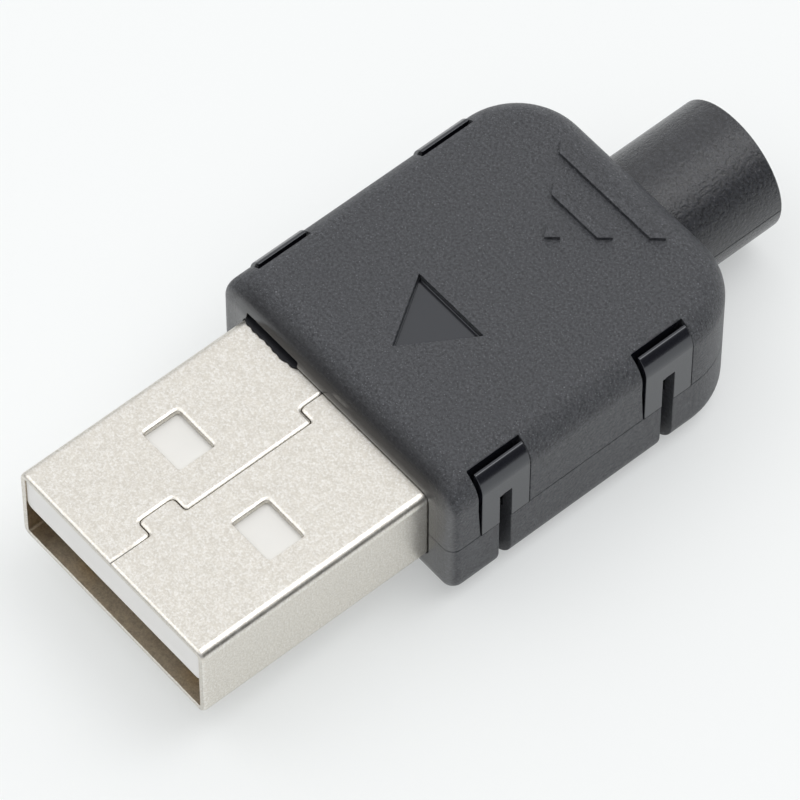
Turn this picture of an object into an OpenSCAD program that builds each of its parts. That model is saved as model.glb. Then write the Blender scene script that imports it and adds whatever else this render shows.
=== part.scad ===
// USB type A plug for soldering, with a housing in two halves that snap together.
//
// The plug points along -Y, the cable leaves along +Y and the flat underside of the housing
// lies on the plane z = 0. Inside the modules the y axis starts at the mouth of the metal
// shell; placed() moves the finished piece so that the origin is at the middle of the
// whole length. All lengths are in millimetres.

/* [Metal shell] */
// Outside width of the folded shell
shell_w = 12; // [11.6:0.1:12.4]
// Outside height of the folded shell
shell_h = 4.5; // [4.3:0.1:4.9]
// Thickness of the sheet
sheet = 0.3; // [0.2:0.05:0.35]
// Outside radius of the four long folds
fold_r = 0.45; // [0.4:0.05:0.7]
// Length of shell that stands out of the housing
reach = 12.1; // [11:0.1:14]
// Length of closed tube that the housing holds
tube_grip = 2.8; // [2.4:0.1:3.6]
// Length of the open trough beside the solder tails
trough_l = 3.8; // [3.2:0.1:4.5]
// Height of the side walls of that trough
trough_h = 2.8; // [2.4:0.1:3.2]

/* [Latch windows of the shell] */
// Size of a window across the plug
window_w = 2.4; // [1.8:0.1:2.8]
// Size of a window along the plug
window_l = 1.9; // [1.5:0.1:2.4]
// Distance from the mouth to the windows
window_y = 5.1; // [4.8:0.1:6]
// Bridge of sheet between the two windows
window_bridge = 3.44; // [3:0.1:4.4]
// Corner radius of a window
window_r = 0.2; // [0.1:0.05:0.5]

/* [Seam of the shell] */
// Gap between the two butting edges
seam_gap = 0.05; // [0.04:0.01:0.12]
// Sideways step of the interlocking edge
seam_step = 0.84; // [0.6:0.02:1.1]
// Distance from the mouth to the near flank of the interlock
lock_near = 2.18; // [1.6:0.02:2.6]
// Distance from the mouth to the far flank of the interlock
lock_far = 4.06; // [3.6:0.02:4.6]
// Distance from the mouth to the last step of the seam
seam_jog = 10.88; // [9.5:0.02:11.6]
// Rounding of the corners along the seam
seam_r = 0.16; // [0.1:0.02:0.3]

/* [Cable crimp] */
// Outside width of the open crimp
crimp_w = 4.4; // [3.8:0.1:5.2]
// Length of the crimp along the cable
crimp_l = 3; // [2:0.1:3.8]
// Height of the ears of the crimp
crimp_h = 3.4; // [2.6:0.1:3.8]
// Outside radius where the ears leave the strap
crimp_r = 1.1; // [0.6:0.1:1.4]
// Length of the bare strap before the crimp
strap_l = 3.4; // [2.6:0.1:4]

/* [Insulator] */
// Thickness of the tongue that carries the contacts
tongue_t = 1.95; // [1.7:0.05:2.1]
// Width of the tongue
tongue_w = 11.2; // [10.6:0.1:11.3]
// Distance that the tongue stays behind the mouth
tongue_back = 0.25; // [0.1:0.05:0.6]
// Corner radius of the mouldings inside the shell
moulding_r = 0.3; // [0.15:0.05:0.5]
// Distance from the mouth to the block behind the cavity
block_y = 8.8; // [8:0.1:9.6]
// Length of that block
block_l = 5.8; // [4.8:0.1:6]

/* [Contacts] */
// Width of a contact
contact_w = 1; // [0.8:0.05:1.2]
// Thickness of a contact
contact_t = 0.25; // [0.2:0.05:0.35]
// Distance that a contact stands out of the tongue
contact_proud = 0.1; // [0.05:0.01:0.15]
// Middle line of the two outer contacts
outer_x = 3.5; // [3.4:0.05:3.6]
// Middle line of the two inner contacts
inner_x = 1; // [0.95:0.05:1.05]
// Distance from the mouth to the outer contacts
outer_front = 1.24; // [1:0.02:1.6]
// Distance from the mouth to the inner contacts
inner_front = 2.24; // [1.8:0.02:2.6]
// Width of a solder tail
tail_w = 1.5; // [1.2:0.1:1.7]

/* [Housing] */
// Width of the housing
body_w = 15.1; // [14.6:0.1:17]
// Height of the housing
body_h = 8; // [7.8:0.1:9.5]
// Length of the housing without the collar
body_l = 17.1; // [16.4:0.1:21]
// Radius of the long rounded edges and of the front and rear ones
edge_r = 1.5; // [1:0.1:1.6]
// Radius of the upright corners at the front
front_corner_r = 0.55; // [0.3:0.05:1]
// Radius of the upright corners at the rear
rear_corner_r = 3.5; // [2.6:0.1:4]
// Height of the underside of the shell above the underside of the housing
shell_z = 2; // [1.9:0.05:2.3]
// Height of the parting plane
parting_z = 3.8; // [3.4:0.05:4.2]
// Width of the parting line
parting_gap = 0.04; // [0.02:0.01:0.1]
// Width of the wiring chamber
chamber_w = 11.6; // [11:0.1:11.7]
// Thickness of the wall below the wiring chamber
floor_t = 1.8; // [1.5:0.05:1.85]
// Thickness of the wall above the wiring chamber
roof_t = 1.7; // [1.6:0.05:2]
// Thickness of the wall behind the wiring chamber
rear_t = 1.9; // [1.5:0.1:2.5]
// Upright corner radius at the rear of the wiring chamber
chamber_r = 2; // [1:0.1:2.6]

/* [Cable collar] */
// Outside radius of the collar
collar_r = 3.25; // [2.8:0.05:3.6]
// Length of the collar
collar_l = 5.35; // [3:0.05:8]
// Radius of the cable hole
cable_r = 2; // [1.5:0.1:2.3]
// Rounding of the end of the collar
collar_end_r = 0.1; // [0.1:0.05:0.4]
// Height of the ribs that grip the cable
rib_h = 0.3; // [0.15:0.05:0.4]
// Width of those ribs at the root
rib_w = 0.5; // [0.3:0.05:0.6]

/* [Snap latches] */
// Width of a latch loop along the housing
latch_w = 2.62; // [2.2:0.02:3]
// Distance from the front of the housing to the middle of the first latch
latch_first = 2.97; // [2.6:0.02:3.2]
// Distance from the rear of the housing to the middle of the last latch
latch_last = 5.08; // [4.6:0.02:6]
// Share of the side wall that a latch loop is thick
latch_share = 0.4; // [0.34:0.01:0.44]
// Share of the side wall that stays behind the notch of a loop
web_share = 0.433; // [0.36:0.01:0.46]
// Share of the side wall that stays behind the slot of a loop
slot_web_share = 0.367; // [0.3:0.01:0.4]
// Height of the top of a loop
latch_top = 7.72; // [7.4:0.02:7.75]
// Distance that a loop stands out of the side
latch_proud = 0.02; // [0.01:0.01:0.1]
// Radius of the rounded shoulder of a loop
latch_shoulder_r = 1.3; // [1:0.05:1.4]
// Radius of the upper corners of a loop
latch_corner_r = 0.25; // [0.1:0.05:0.4]
// Widest gap in front of a loop
latch_front_gap = 0.2; // [0.1:0.02:0.26]
// Gap in front of a loop at its foot
latch_foot_gap = 0.09; // [0.06:0.01:0.14]
// Gap on the rear side of a loop
latch_rear_gap = 0.06; // [0.04:0.01:0.1]
// Width of the slot in a loop
slot_w = 0.65; // [0.5:0.05:0.9]
// Height of the top of the slot
slot_top = 5.8; // [5.4:0.05:6.2]
// Height over which the catch slopes out of the wall
catch_slope = 0.6; // [0.4:0.05:0.8]
// Height of the whole catch
catch_h = 1.15; // [0.9:0.05:1.3]
// Share of the depth of the notch that the catch takes up
catch_share = 0.7; // [0.5:0.05:0.8]

/* [Marks on the top] */
// Length of the sunken arrow head
arrow_l = 3.25; // [2:0.05:4]
// Width of the sunken arrow head
arrow_w = 4.16; // [3:0.02:6]
// Depth of the sunken arrow head
arrow_depth = 0.35; // [0.2:0.05:0.5]
// Distance from the front of the housing to the tip of the arrow head
arrow_y = 3.15; // [2:0.05:4]
// Height of the raised grip bars
bar_h = 0.2; // [0.1:0.05:0.4]
// Width of a grip bar along the housing
bar_t = 0.52; // [0.4:0.02:0.7]
// Distance from one grip bar to the next
bar_pitch = 1.69; // [1.2:0.01:1.7]
// Number of grip bars
bar_count = 3; // [2:1:3]
// Distance from the rear of the housing to the tip of the first grip bar
bar_back = 5.55; // [5.5:0.05:7]
// Growth in width of the bars for each millimetre along the housing
bar_spread = 1.74; // [1.2:0.02:2]

/* [Clearances] */
// Play between the shell and the housing, on each side
shell_play = 0.05; // [0.02:0.01:0.08]
// Play between pieces pressed together, on each side
press_play = 0.02; // [0.01:0.01:0.04]

/* [Key of the shell] */
// Width of the key that holds the shell in the housing
key_w = 2; // [1.4:0.1:3]
// Length of that key
key_l = 1.2; // [0.8:0.1:1.6]
// Distance from the front of the housing to the middle of the key
key_y = 3.4; // [3:0.1:4.2]

/* [Vent above the shell] */
// Width of the vent
vent_w = 3.3; // [1:0.1:4]
// Distance from the middle of the plug to the middle of the vent
vent_x = 4.15; // [2.6:0.05:4.2]
// Height of the vent above the shell
vent_h = 0.56; // [0.1:0.02:0.8]
// Depth of the vent
vent_l = 0.8; // [0.4:0.1:1.5]

/* [Hidden] */

$fn = 64;
past = 1;  // how far a cutting shape runs past the surface that it opens

total_l = reach + body_l + collar_l;
tube_end = reach + tube_grip;
shell_end = tube_end + trough_l;
shell_top = shell_z + shell_h;
inner_w = shell_w - 2 * sheet;
inner_floor = shell_z + sheet;
inner_top = shell_top - sheet;
inner_fold_r = max(fold_r - sheet, 0.05);

crimp_y = shell_end + strap_l;
strap_w = crimp_w - 2 * crimp_r;

tongue_top = inner_top - press_play;
tongue_floor = tongue_top - tongue_t;
block_end = block_y + block_l;
contact_floor = tongue_floor - contact_proud;
contact_top = contact_floor + contact_t;
ledge_top = contact_floor - press_play;

front_y = reach;
rear_y = reach + body_l;
corner_y = rear_y - rear_corner_r;
pocket_end = shell_end + shell_play;
chamber_end = rear_y - rear_t;
side_x = body_w / 2;
pocket_x = shell_w / 2 + shell_play;
side_wall = side_x - pocket_x;
loop_x = side_x - latch_share * side_wall;
notch_x = pocket_x + web_share * side_wall;
slot_x = pocket_x + slot_web_share * side_wall;
catch_x = notch_x + catch_share * (side_x - notch_x);
catch_top = slot_top - latch_foot_gap / 2;
catch_w = slot_w - 2 * shell_play;
latch_ys = [front_y + latch_first, rear_y - latch_last];

metal = [0.78, 0.76, 0.73];
plastic = [0.16, 0.165, 0.175];
white_plastic = [0.9, 0.9, 0.88];
gold = [0.83, 0.68, 0.38];

// ---- shared shapes ----

module placed() {
    translate([0, -total_l / 2, 0]) children();
}

// A flat outline in x and z, drawn out along y from one place to another.
module along_y(from, to) {
    translate([0, to, 0]) rotate([90, 0, 0]) linear_extrude(height = to - from) children();
}

// A flat outline in y and z, drawn out along x from one place to another.
module along_x(from, to) {
    translate([from, 0, 0]) rotate([90, 0, 90]) linear_extrude(height = to - from) children();
}

// A flat outline in x and y, drawn out along z from one height to another.
module along_z(from, to) {
    translate([0, 0, from]) linear_extrude(height = to - from) children();
}

module both_sides() {
    children();
    mirror([1, 0, 0]) children();
}

// A rectangle round the origin with four equal corner arcs.
module round_rect(w, h, r) {
    square([w - 2 * r, h], center = true);
    square([w, h - 2 * r], center = true);
    for (x = [-1, 1], y = [-1, 1])
        translate([x * (w / 2 - r), y * (h / 2 - r)]) circle(r);
}

// A rectangle that starts at the origin and has arcs at its two left corners.
module round_left(l, h, r) {
    translate([r, 0]) square([l - r, h]);
    translate([0, r]) square([l, h - 2 * r]);
    for (y = [r, h - r]) translate([r, y]) circle(r);
}

// An upright strip on the middle line with arcs at its two upper corners.
module round_top(w, from, to, r) {
    translate([-w / 2, from]) square([w, to - r - from]);
    translate([r - w / 2, from]) square([w - 2 * r, to - from]);
    for (x = [-1, 1]) translate([x * (w / 2 - r), to - r]) circle(r);
}

// ---- metal shell ----

function unit(v) = v / norm(v);

// The corners of a path between its ends, each replaced by a short curve of the given reach.
function rounded_path(points, reach, steps = 5) = concat(
    [points[0]],
    [
        for (i = [1 : len(points) - 2])
            let (corner = points[i],
                 before = corner + reach * unit(points[i - 1] - corner),
                 after = corner + reach * unit(points[i + 1] - corner))
            for (t = [0 : 1 / steps : 1])
                (1 - t) * (1 - t) * before + 2 * t * (1 - t) * corner + t * t * after
    ],
    [points[len(points) - 1]]
);

// The path moved sideways by a distance, to the left for a positive one.
function shifted_path(points, distance) = [
    for (i = [0 : len(points) - 1])
        let (ahead = unit(points[min(i + 1, len(points) - 1)] - points[max(i - 1, 0)]))
        points[i] + distance * [-ahead[1], ahead[0]]
];

module seam_cut() {
    path = rounded_path([
        [0, -past],
        [0, lock_near],
        [-seam_step, lock_near],
        [-seam_step, lock_far],
        [0, lock_far],
        [0, seam_jog],
        [-seam_step, seam_jog],
        [-seam_step, tube_end + past],
    ], seam_r);
    along_z(inner_top - past / 4, shell_top + past)
        polygon(concat(shifted_path(path, seam_gap / 2),
                       [for (i = [len(path) - 1 : -1 : 0]) shifted_path(path, -seam_gap / 2)[i]]));
}

module window_cuts() {
    both_sides()
        translate([(window_bridge + window_w) / 2, window_y + window_l / 2, 0])
            along_z(shell_z - past, shell_top + past)
                round_rect(window_w, window_l, window_r);
}

module crimp() {
    along_y(crimp_y, crimp_y + crimp_l)
        translate([0, shell_z]) difference() {
            translate([0, crimp_h]) round_rect(crimp_w, 2 * crimp_h, crimp_r);
            translate([0, crimp_h])
                round_rect(crimp_w - 2 * sheet, 2 * (crimp_h - sheet), crimp_r - sheet);
            translate([-crimp_w, crimp_h]) square([2 * crimp_w, 2 * crimp_h]);
        }
}

module plug_shell() {
    color(metal) placed() {
        difference() {
            along_y(0, shell_end) translate([0, shell_z + shell_h / 2]) difference() {
                round_rect(shell_w, shell_h, fold_r);
                round_rect(inner_w, shell_h - 2 * sheet, inner_fold_r);
            }
            translate([-shell_w, tube_end, shell_z + trough_h])
                cube([2 * shell_w, trough_l + past, shell_h]);
            window_cuts();
            seam_cut();
            translate([-key_w / 2, front_y + key_y - key_l / 2, shell_z - past])
                cube([key_w, key_l, past + 2 * sheet]);
        }
        translate([-strap_w / 2, shell_end, shell_z])
            cube([strap_w, strap_l + crimp_l, sheet]);
        crimp();
    }
}

// ---- insulator and contacts ----

module contact_slot(x, front) {
    translate([x - contact_w / 2 - press_play, front - press_play, ledge_top])
        cube([contact_w + 2 * press_play, block_end + past - front, contact_t + 2 * press_play]);
}

module insulator() {
    fill_w = inner_w - 2 * press_play;
    fill_h = inner_top - inner_floor - 2 * press_play;
    color(white_plastic) placed() difference() {
        union() {
            along_y(tongue_back, block_y + press_play)
                translate([0, tongue_top - tongue_t / 2])
                    round_rect(tongue_w, tongue_t, moulding_r);
            along_y(block_y, block_end)
                translate([0, inner_floor + press_play + fill_h / 2])
                    round_rect(fill_w, fill_h, moulding_r);
            along_y(block_end, shell_end)
                translate([0, inner_floor + press_play]) intersection() {
                    translate([0, fill_h / 2]) round_rect(fill_w, fill_h, moulding_r);
                    translate([-fill_w / 2, 0])
                        square([fill_w, ledge_top - inner_floor - press_play]);
                }
        }
        for (x = [-outer_x, outer_x]) contact_slot(x, outer_front);
        for (x = [-inner_x, inner_x]) contact_slot(x, inner_front);
    }
}

module contact(x, front) {
    tail_end = shell_end - moulding_r;
    color(gold) placed() {
        along_x(x - contact_w / 2, x + contact_w / 2)
            polygon([
                [front, contact_floor + contact_proud],
                [front + contact_proud, contact_floor],
                [tail_end - tail_w / 2, contact_floor],
                [tail_end - tail_w / 2, contact_top],
                [front, contact_top],
            ]);
        along_z(contact_floor, contact_top)
            translate([x, (block_end + press_play + tail_end) / 2])
                round_rect(tail_w, tail_end - block_end - press_play, moulding_r);
    }
}

module contact_power() contact(-outer_x, outer_front);
module contact_data_minus() contact(-inner_x, inner_front);
module contact_data_plus() contact(inner_x, inner_front);
module contact_ground() contact(outer_x, outer_front);

// ---- housing ----

// The cross-section of the housing seen from the front.
module cross_section(w, r) {
    translate([0, body_h / 2]) round_rect(w, body_h, r);
}

// The outer form of both halves together: a front part with tight upright corners, and a
// rear part whose rounded edge runs on round the two wide upright corners.
module body_form() {
    corner_x = side_x - rear_corner_r;
    intersection() {
        along_y(front_y, corner_y) cross_section(body_w, edge_r);
        along_x(-body_w, body_w)
            translate([front_y, 0]) round_left(body_l, body_h, edge_r);
        along_z(0, body_h)
            translate([0, front_y + body_l / 2]) round_rect(body_w, body_l, front_corner_r);
    }
    along_x(-corner_x, corner_x)
        translate([rear_y, 0]) mirror([1, 0]) round_left(rear_corner_r, body_h, edge_r);
    both_sides()
        translate([corner_x, corner_y, 0])
            rotate_extrude(angle = 90)
                translate([rear_corner_r, 0]) mirror([1, 0])
                    round_left(rear_corner_r, body_h, edge_r);
}

module collar() {
    translate([0, rear_y - rear_t, parting_z]) rotate([-90, 0, 0]) rotate_extrude()
        intersection() {
            translate([-collar_r, 0]) mirror([0, 1])
                translate([0, -rear_t - collar_l]) round_collar_side();
            square([collar_r, rear_t + collar_l]);
        }
}

// The outline of the collar, drawn on both sides of its axis.
module round_collar_side() {
    l = rear_t + collar_l;
    translate([0, collar_end_r]) square([2 * collar_r, l - collar_end_r]);
    translate([collar_end_r, 0]) square([2 * (collar_r - collar_end_r), l]);
    for (x = [collar_end_r, 2 * collar_r - collar_end_r])
        translate([x, collar_end_r]) circle(collar_end_r);
}

// Everything that is hollow inside the closed housing.
module hollow() {
    along_y(front_y - past, pocket_end)
        translate([0, shell_z + shell_h / 2])
            round_rect(shell_w + 2 * shell_play, shell_h + 2 * shell_play, fold_r + shell_play);
    along_z(floor_t, body_h - roof_t)
        translate([0, (pocket_end + chamber_end) / 2]) {
            translate([0, -chamber_r / 2])
                square([chamber_w, chamber_end - pocket_end - chamber_r], center = true);
            translate([0, 0])
                square([chamber_w - 2 * chamber_r, chamber_end - pocket_end], center = true);
            for (x = [-1, 1])
                translate([x * (chamber_w / 2 - chamber_r),
                           (chamber_end - pocket_end) / 2 - chamber_r]) circle(chamber_r);
        }
    translate([0, chamber_end - past, parting_z]) rotate([-90, 0, 0])
        cylinder(r = cable_r, h = rear_t + collar_l + 2 * past);
}

module cable_ribs() {
    for (y = [chamber_end + rib_w, rear_y - rib_w])
        translate([0, y, parting_z]) rotate([-90, 0, 0]) rotate_extrude()
            polygon([
                [cable_r + rib_h, -rib_w / 2],
                [cable_r, -rib_w / 2],
                [cable_r - rib_h, 0],
                [cable_r, rib_w / 2],
                [cable_r + rib_h, rib_w / 2],
            ]);
}

module closed_housing() {
    difference() {
        union() {
            body_form();
            collar();
        }
        hollow();
    }
    cable_ribs();
}

module above_parting() {
    translate([-body_w, 0, parting_z + parting_gap / 2]) cube([2 * body_w, total_l + past, body_h]);
}

module below_parting() {
    translate([-body_w, 0, parting_z - parting_gap / 2 - body_h])
        cube([2 * body_w, total_l + past, body_h]);
}

// The place that the upper half leaves free for one latch loop.
module latch_notch(y) {
    foot = parting_z + parting_gap;
    middle = (foot + latch_top) / 2;
    along_x(notch_x, side_x + past)
        polygon([
            [y - latch_w / 2 - latch_foot_gap, parting_z - past],
            [y - latch_w / 2 - latch_foot_gap, foot],
            [y - latch_w / 2 - latch_front_gap, middle],
            [y - latch_w / 2 - latch_front_gap, body_h + past],
            [y + latch_w / 2 + latch_rear_gap, body_h + past],
            [y + latch_w / 2 + latch_rear_gap, parting_z - past],
        ]);
}

// The hook on the upper half that the bar of a loop snaps behind.
module catch(y) {
    root = notch_x - shell_play;
    along_y(y - catch_w / 2, y + catch_w / 2)
        polygon([
            [root, catch_top - catch_h],
            [notch_x, catch_top - catch_h],
            [catch_x, catch_top - catch_h + catch_slope],
            [catch_x, catch_top],
            [root, catch_top],
        ]);
}

// One loop of the lower half, before its slot is cut.
module latch_loop(y) {
    intersection() {
        along_y(y - latch_w / 2, y + latch_w / 2)
            cross_section(body_w + 2 * latch_proud, latch_shoulder_r);
        along_x(loop_x, body_w)
            translate([y, 0])
                round_top(latch_w, parting_z - parting_gap / 2, latch_top, latch_corner_r);
    }
}

module latch_slot(y) {
    along_x(slot_x, body_w)
        translate([y - slot_w / 2, -past]) square([slot_w, slot_top + past]);
}

module arrow_cut() {
    tip = front_y + arrow_y;
    along_z(body_h - arrow_depth, body_h + past)
        polygon([[0, tip], [arrow_w / 2, tip + arrow_l], [-arrow_w / 2, tip + arrow_l]]);
}

module grip_bars() {
    tip = rear_y - bar_back;
    along_z(body_h - bar_h, body_h + bar_h)
        for (i = [0 : bar_count - 1])
            let (near = i * bar_pitch, far = near + bar_t, half = bar_spread / 2)
                polygon([
                    [-half * near, tip + near],
                    [-half * far, tip + far],
                    [half * far, tip + far],
                    [half * near, tip + near],
                ]);
}

module vent_cut() {
    translate([-vent_x - vent_w / 2, front_y - past, shell_top - past])
        cube([vent_w, past + vent_l, past + vent_h]);
}

module shell_key() {
    w = key_w - 2 * shell_play;
    l = key_l - 2 * shell_play;
    translate([-w / 2, front_y + key_y - l / 2, floor_t - past / 2])
        cube([w, l, shell_z + sheet - press_play - floor_t + past / 2]);
}

module upper_housing() {
    color(plastic) placed() {
        difference() {
            intersection() {
                closed_housing();
                above_parting();
            }
            both_sides() for (y = latch_ys) latch_notch(y);
            arrow_cut();
            vent_cut();
        }
        both_sides() for (y = latch_ys) catch(y);
        grip_bars();
    }
}

module lower_housing() {
    color(plastic) placed() {
        difference() {
            union() {
                intersection() {
                    closed_housing();
                    below_parting();
                }
                both_sides() for (y = latch_ys) latch_loop(y);
            }
            both_sides() for (y = latch_ys) latch_slot(y);
        }
        shell_key();
    }
}

plug_shell();
insulator();
contact_power();
contact_data_minus();
contact_data_plus();
contact_ground();
upper_housing();
lower_housing();
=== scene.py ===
"""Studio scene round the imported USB-A plug.

A folded metal shell with a white insulator and gold contacts, in a black housing of two halves that
snap together. Each CAD node is replaced by a piece with its form, small roundings and a procedural
material. The key that holds the shell and the two ribs deep in the cable's bore are left out.
"""

import math

import bmesh
import bpy
from mathutils import Matrix, Vector
from mathutils.geometry import delaunay_2d_cdt


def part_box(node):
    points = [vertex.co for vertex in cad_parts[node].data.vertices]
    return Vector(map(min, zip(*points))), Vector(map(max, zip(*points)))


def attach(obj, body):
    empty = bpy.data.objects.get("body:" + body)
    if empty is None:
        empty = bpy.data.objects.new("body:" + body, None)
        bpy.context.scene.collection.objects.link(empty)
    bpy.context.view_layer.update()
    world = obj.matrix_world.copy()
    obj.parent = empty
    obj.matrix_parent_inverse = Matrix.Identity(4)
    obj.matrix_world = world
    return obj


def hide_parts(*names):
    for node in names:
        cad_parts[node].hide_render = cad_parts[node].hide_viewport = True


MM = 0.001

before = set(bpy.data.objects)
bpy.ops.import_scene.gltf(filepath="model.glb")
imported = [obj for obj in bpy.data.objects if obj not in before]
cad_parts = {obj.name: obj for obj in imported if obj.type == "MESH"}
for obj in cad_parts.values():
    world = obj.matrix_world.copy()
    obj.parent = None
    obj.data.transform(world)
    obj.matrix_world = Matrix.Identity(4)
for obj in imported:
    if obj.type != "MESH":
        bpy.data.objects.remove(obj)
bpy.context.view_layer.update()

# ---- sizes, in millimetres; y counts from the mouth of the shell ----


def box_mm(node):
    low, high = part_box(node)
    return [c / MM for c in low], [c / MM for c in high]


shell_low, shell_high = box_mm("plug_shell")
upper_low, upper_high = box_mm("upper_housing")
lower_low, lower_high = box_mm("lower_housing")

# Metal shell
MOUTH_Y = shell_low[1]
SHELL_W = shell_high[0] - shell_low[0]
SHELL_FLOOR = shell_low[2]
SHELL_H = 4.5
SHELL_TOP = SHELL_FLOOR + SHELL_H
SHEET = 0.3
FOLD_R = 0.45
TUBE_END = 14.9
SHELL_END = 18.7
TROUGH_H = 2.8
TROUGH_R, STRAP_R, EAR_R = 0.2, 0.3, 0.4  # corner radii of the blank behind the tube

WINDOW_W, WINDOW_L, WINDOW_R = 2.4, 1.9, 0.2
WINDOW_Y = 5.1
WINDOW_BRIDGE = 3.44

SEAM_GAP = 0.012
SEAM_STEP = 0.84
LOCK_NEAR, LOCK_FAR = 2.18, 4.06
SEAM_JOG = 10.88
SEAM_R = 0.23

# The shears roll the sheet's outer edge down, over the full width of the roll or a share of it
ROLL_W, ROLL_DEPTH, ROLL_STEPS = 0.19, 0.075, 5
ROLL_FULL, ROLL_HALF, ROLL_NARROW = 1.0, 0.5, 0.2
INNER_EDGE_R = 0.04

STRAP_L = 3.4
CRIMP_W, CRIMP_L, CRIMP_H, CRIMP_R = 4.4, 3.0, 3.4, 1.1
FOLD_STEPS = 8

# Insulator
TONGUE_HALF = 5.6
TONGUE_PLAY = 0.01
TONGUE_ADVANCE, TONGUE_REACH = 0.15, 0.5  # how far its front moves, and how deep that front is
TONGUE_LOW = 4.0  # every face of its front lies above this height
INSULATOR_EDGE, CONTACT_EDGE = 0.05, 0.03

# Housing
BODY_W = upper_high[0] - upper_low[0]
FRONT_Y = upper_low[1] - MOUTH_Y
TOTAL_L = upper_high[1] - MOUTH_Y
BODY_L = 17.1
REAR_Y = FRONT_Y + BODY_L
BAR_H = 0.2
BODY_H = upper_high[2] - BAR_H
EDGE_R = 1.5
FRONT_CORNER_R = 0.55
REAR_CORNER_R = 3.5
PARTING_GAP = 0.04
PARTING_Z = upper_low[2] - PARTING_GAP / 2
PARTING_LOW, PARTING_HIGH = PARTING_Z - 0.014, PARTING_Z + 0.01  # tighter than the source's gap
HOUSING_EDGE = 0.035

COLLAR_R = 3.25
COLLAR_END_R = 0.1
COLLAR_ROOT = 1.7
CABLE_R = 2.0
SHELL_PLAY = 0.05
POCKET_END = SHELL_END + SHELL_PLAY
CHAMBER_W, CHAMBER_FLOOR, CHAMBER_ROOF, CHAMBER_R = 11.6, 1.8, 6.3, 2.0
REAR_WALL = 1.9
CHAMBER_END = REAR_Y - REAR_WALL
CHAMBER_LAP, BORE_LAP = 0.3, 0.5  # how far each hollow runs into the one before it

KEY_W, KEY_L = 2.0, 1.2
KEY_Y = FRONT_Y + 3.4

LATCH_W = 2.62
LATCH_YS = (FRONT_Y + 2.97, REAR_Y - 5.08)
LATCH_TOP = lower_high[2]
LATCH_PROUD = (lower_high[0] - lower_low[0] - BODY_W) / 2
LATCH_SHOULDER_R = 1.3
SIDE_X = BODY_W / 2
LOOP_X = SIDE_X - 0.6
LOOP_ROOT = 0.5
NOTCH_X = SIDE_X - 0.85
SLOT_X = SIDE_X - 0.95
CATCH_X = SIDE_X - 0.25
FOOT_GAP, FRONT_GAP, REAR_GAP = 0.06, 0.18, 0.05
SLOT_W, SLOT_TOP = 0.65, 5.8
CATCH_W, CATCH_TOP, CATCH_H, CATCH_SLOPE = 0.55, 5.755, 1.15, 0.6

ARROW_Y, ARROW_L, ARROW_W, ARROW_DEPTH = FRONT_Y + 3.15, 3.25, 4.16, 0.35
BAR_Y, BAR_T, BAR_PITCH, BAR_SPREAD = REAR_Y - 5.55, 0.52, 1.69, 1.74
BAR_COUNT, BAR_ROOT = 3, 0.3
VENT_X, VENT_W, VENT_H, VENT_L, VENT_DROP = -4.15, 3.3, 0.38, 0.8, 0.5
VENT_LOW, VENT_HIGH = VENT_X - VENT_W / 2, VENT_X + VENT_W / 2
LIP_LOW, LIP_HIGH = SHELL_TOP + 0.01, SHELL_TOP + 0.08

EDGE_STEPS = 14
ARC_STEPS = 10
PAST = 1.0  # how far a cutting shape runs past the surface that it opens
ROOT = 0.1  # how far an added shape reaches into what carries it
HAIR = 0.01  # a distance too small to see

# ---- looks ----

GRAINED, SMOOTH, FLASH_AND_SHADE, COARSE = range(4)  # order of the plastics on each half of the housing
# the sheet's inner face is painted darker and browner: painted shade inside the tube
SHEET_OUTSIDE, SHEET_INSIDE_SHADED = 0, 1
# the tongue's front faces take a lighter copy of the white: painted light
BLOCK_WHITE, TONGUE_FRONT_LIT = 0, 1
FACING = 0.9  # cosine of the angle within which a face looks along an axis
PAPER_COLOUR = (0.935, 0.95, 0.95, 1)
PAPER_GLOW_COLOUR = (0.91, 0.93, 0.93, 1)
PAPER_GLOW = 0.40  # how far the paper's shadows are lifted towards its plain colour

# Lights of the studio's dome: direction, cosines of the angle where the change starts and ends,
# strength added outside and inside
DOME = (
    ((-0.22, 0.24, 0.95), 0.28, 0.60, 0.36, 0.94),  # soft ceiling over a dim horizon
    ((0.80, 0.35, 0.48), 0.80, 0.97, 0.0, -0.32),  # dark side of the room
    ((0.22, 0.20, 0.95), 0.83, 0.97, 0.0, 0.25),  # wide soft box
    ((0.21, 0.36, 0.91), 0.93, 0.985, 0.0, 2.10),  # small soft box
    ((-0.42, -0.36, 0.83), 0.90, 0.99, 0.0, 0.75),  # soft box in front
)


# ---- mesh helpers ----


def link(mesh, name):
    obj = bpy.data.objects.new(name, mesh)
    bpy.context.collection.objects.link(obj)
    return obj


def mesh_object(name, verts, faces):
    mesh = bpy.data.meshes.new(name)
    mesh.from_pydata([tuple(v) for v in verts], [], faces)
    bm = bmesh.new()
    bm.from_mesh(mesh)
    bmesh.ops.recalc_face_normals(bm, faces=bm.faces)
    bm.to_mesh(mesh)
    bm.free()
    return link(mesh, name)


def prism(name, outline, low, high, axis):
    """A closed outline drawn out along one axis; it holds the other two coordinates in x, y, z order."""

    def point(p, h):
        return [(h, p[0], p[1]), (p[0], h, p[1]), (p[0], p[1], h)]["xyz".index(axis)]

    n = len(outline)
    verts = [point(p, low) for p in outline] + [point(p, high) for p in outline]
    faces = [list(range(n)), list(range(2 * n - 1, n - 1, -1))]
    faces += [[i, (i + 1) % n, n + (i + 1) % n, n + i] for i in range(n)]
    return mesh_object(name, verts, faces)


def arc(cx, cy, r, start, end, steps):
    return [
        (cx + r * math.cos(math.radians(a)), cy + r * math.sin(math.radians(a)))
        for a in (start + (end - start) * i / steps for i in range(steps + 1))
    ]


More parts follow.
